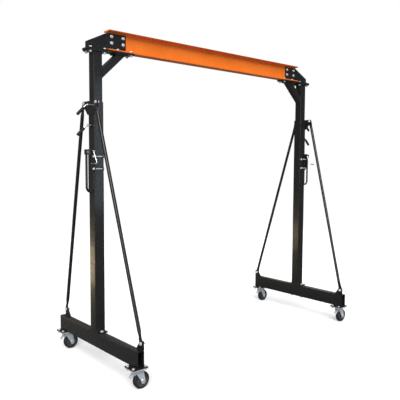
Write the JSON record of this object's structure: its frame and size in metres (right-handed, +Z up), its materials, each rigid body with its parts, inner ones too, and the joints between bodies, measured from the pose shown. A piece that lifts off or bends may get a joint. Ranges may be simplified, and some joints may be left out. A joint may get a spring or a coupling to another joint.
{
  "type": "portable gantry crane",
  "caption": "Portable gantry crane: I-beam on telescoping legs with locking pins, braced bases and swivel casters with brakes.",
  "frame": {"origin": "on the floor, at the centre of the footprint, with the beam fully lowered", "axes": "+X along the beam towards the right leg, +Y along the bases towards the rear, +Z up"},
  "size_m": [2.553, 1.082, 2.388],
  "materials": {
    "black_paint": "gloss powder coat",
    "orange_paint": "satin enamel",
    "zinc": "zinc plated",
    "bright_zinc": "bright zinc plated pressing",
    "chrome": "polished",
    "grip_rubber": "ribbed, matt",
    "tyre": "matt",
    "wheel_core": "dark, cast"
  },
  "bodies": {
    "left_leg": {"left_base_tube": "black_paint", "left_base_plates": "black_paint", "left_outer_post": "black_paint", "left_collar_plate": "black_paint", "left_front_brace": "black_paint", "left_rear_brace": "black_paint", "left_leg_bolts": "zinc", "left_latch_bracket": "black_paint", "left_grab_handle": "black_paint", "left_bolt_lugs": "black_paint", "left_caster_plates": "zinc"},
    "upper_frame": {"i_beam": "orange_paint", "seat_plates": "black_paint", "web_plates": "black_paint", "upper_bolts": "zinc", "left_knee_brace": "black_paint", "right_knee_brace": "black_paint", "left_inner_post": "black_paint", "right_inner_post": "black_paint"},
    "right_leg": {"right_base_tube": "black_paint", "right_base_plates": "black_paint", "right_outer_post": "black_paint", "right_collar_plate": "black_paint", "right_front_brace": "black_paint", "right_rear_brace": "black_paint", "right_leg_bolts": "zinc", "right_latch_bracket": "black_paint", "right_grab_handle": "black_paint", "right_bolt_lugs": "black_paint", "right_caster_plates": "zinc"},
    "left_upper_lock": {"left_upper_pin": "chrome", "left_upper_pin_grip": "grip_rubber"},
    "left_lower_lock": {"left_lower_pin": "chrome", "left_lower_pin_grip": "grip_rubber"},
    "left_lever": {"left_release_lever": "chrome"},
    "left_front_swivel": {"left_front_fork": "bright_zinc", "left_front_axle": "zinc"},
    "left_front_roller": {"left_front_wheel": "wheel_core", "left_front_tyre": "tyre"},
    "left_front_pedal": {"left_front_brake_pedal": "bright_zinc"},
    "left_rear_swivel": {"left_rear_fork": "bright_zinc", "left_rear_axle": "zinc"},
    "left_rear_roller": {"left_rear_wheel": "wheel_core", "left_rear_tyre": "tyre"},
    "left_rear_pedal": {"left_rear_brake_pedal": "bright_zinc"},
    "right_upper_lock": {"right_upper_pin": "chrome", "right_upper_pin_grip": "grip_rubber"},
    "right_lower_lock": {"right_lower_pin": "chrome", "right_lower_pin_grip": "grip_rubber"},
    "right_lever": {"right_release_lever": "chrome"},
    "right_front_swivel": {"right_front_fork": "bright_zinc", "right_front_axle": "zinc"},
    "right_front_roller": {"right_front_wheel": "wheel_core", "right_front_tyre": "tyre"},
    "right_front_pedal": {"right_front_brake_pedal": "bright_zinc"},
    "right_rear_swivel": {"right_rear_fork": "bright_zinc", "right_rear_axle": "zinc"},
    "right_rear_roller": {"right_rear_wheel": "wheel_core", "right_rear_tyre": "tyre"},
    "right_rear_pedal": {"right_rear_brake_pedal": "bright_zinc"}
  },
  "joints": [
    {"name": "lift", "type": "slide", "parent": "left_leg", "child": "upper_frame", "axis": [0, 0, 1], "range_m": [0, 1.26]},
    {"name": "right_leg_slide", "type": "slide", "parent": "upper_frame", "child": "right_leg", "axis": [0, 0, 1], "range_m": [-1.26, 0]},
    {"name": "left_upper_lock_slide", "type": "slide", "parent": "left_leg", "child": "left_upper_lock", "axis": [1, 0, 0], "range_m": [0, 0.02]},
    {"name": "left_lower_lock_slide", "type": "slide", "parent": "left_leg", "child": "left_lower_lock", "axis": [1, 0, 0], "range_m": [0, 0.02]},
    {"name": "left_lever_hinge", "type": "hinge", "parent": "left_leg", "child": "left_lever", "pos_m": [-1.1763, -0.052, 1.545], "axis": [-1, 0, 0], "range_deg": [0, 45]},
    {"name": "left_front_swivel_turn", "type": "hinge", "parent": "left_leg", "child": "left_front_swivel", "pos_m": [-1.125, -0.489, 0.13], "axis": [0, 0, 1], "continuous": true},
    {"name": "left_front_wheel_spin", "type": "hinge", "parent": "left_front_swivel", "child": "left_front_roller", "pos_m": [-1.09, -0.489, 0.0575], "axis": [0, 1, 0], "continuous": true},
    {"name": "left_front_pedal_press", "type": "hinge", "parent": "left_front_swivel", "child": "left_front_pedal", "pos_m": [-1.143, -0.489, 0.117], "axis": [0, -1, 0], "range_deg": [0, 15]},
    {"name": "left_rear_swivel_turn", "type": "hinge", "parent": "left_leg", "child": "left_rear_swivel", "pos_m": [-1.125, 0.489, 0.13], "axis": [0, 0, 1], "continuous": true},
    {"name": "left_rear_wheel_spin", "type": "hinge", "parent": "left_rear_swivel", "child": "left_rear_roller", "pos_m": [-1.09, 0.489, 0.0575], "axis": [0, 1, 0], "continuous": true},
    {"name": "left_rear_pedal_press", "type": "hinge", "parent": "left_rear_swivel", "child": "left_rear_pedal", "pos_m": [-1.143, 0.489, 0.117], "axis": [0, -1, 0], "range_deg": [0, 15]},
    {"name": "right_upper_lock_slide", "type": "slide", "parent": "right_leg", "child": "right_upper_lock", "axis": [-1, 0, 0], "range_m": [0, 0.02]},
    {"name": "right_lower_lock_slide", "type": "slide", "parent": "right_leg", "child": "right_lower_lock", "axis": [-1, 0, 0], "range_m": [0, 0.02]},
    {"name": "right_lever_hinge", "type": "hinge", "parent": "right_leg", "child": "right_lever", "pos_m": [1.1763, -0.052, 1.545], "axis": [-1, 0, 0], "range_deg": [0, 45]},
    {"name": "right_front_swivel_turn", "type": "hinge", "parent": "right_leg", "child": "right_front_swivel", "pos_m": [1.125, -0.489, 0.13], "axis": [0, 0, 1], "continuous": true},
    {"name": "right_front_wheel_spin", "type": "hinge", "parent": "right_front_swivel", "child": "right_front_roller", "pos_m": [1.16, -0.489, 0.0575], "axis": [0, 1, 0], "continuous": true},
    {"name": "right_front_pedal_press", "type": "hinge", "parent": "right_front_swivel", "child": "right_front_pedal", "pos_m": [1.107, -0.489, 0.117], "axis": [0, -1, 0], "range_deg": [0, 15]},
    {"name": "right_rear_swivel_turn", "type": "hinge", "parent": "right_leg", "child": "right_rear_swivel", "pos_m": [1.125, 0.489, 0.13], "axis": [0, 0, 1], "continuous": true},
    {"name": "right_rear_wheel_spin", "type": "hinge", "parent": "right_rear_swivel", "child": "right_rear_roller", "pos_m": [1.16, 0.489, 0.0575], "axis": [0, 1, 0], "continuous": true},
    {"name": "right_rear_pedal_press", "type": "hinge", "parent": "right_rear_swivel", "child": "right_rear_pedal", "pos_m": [1.107, 0.489, 0.117], "axis": [0, -1, 0], "range_deg": [0, 15]}
  ],
  "couplings": [
    {"joint": "right_leg_slide", "follows": "lift", "ratio": -1}
  ]
}
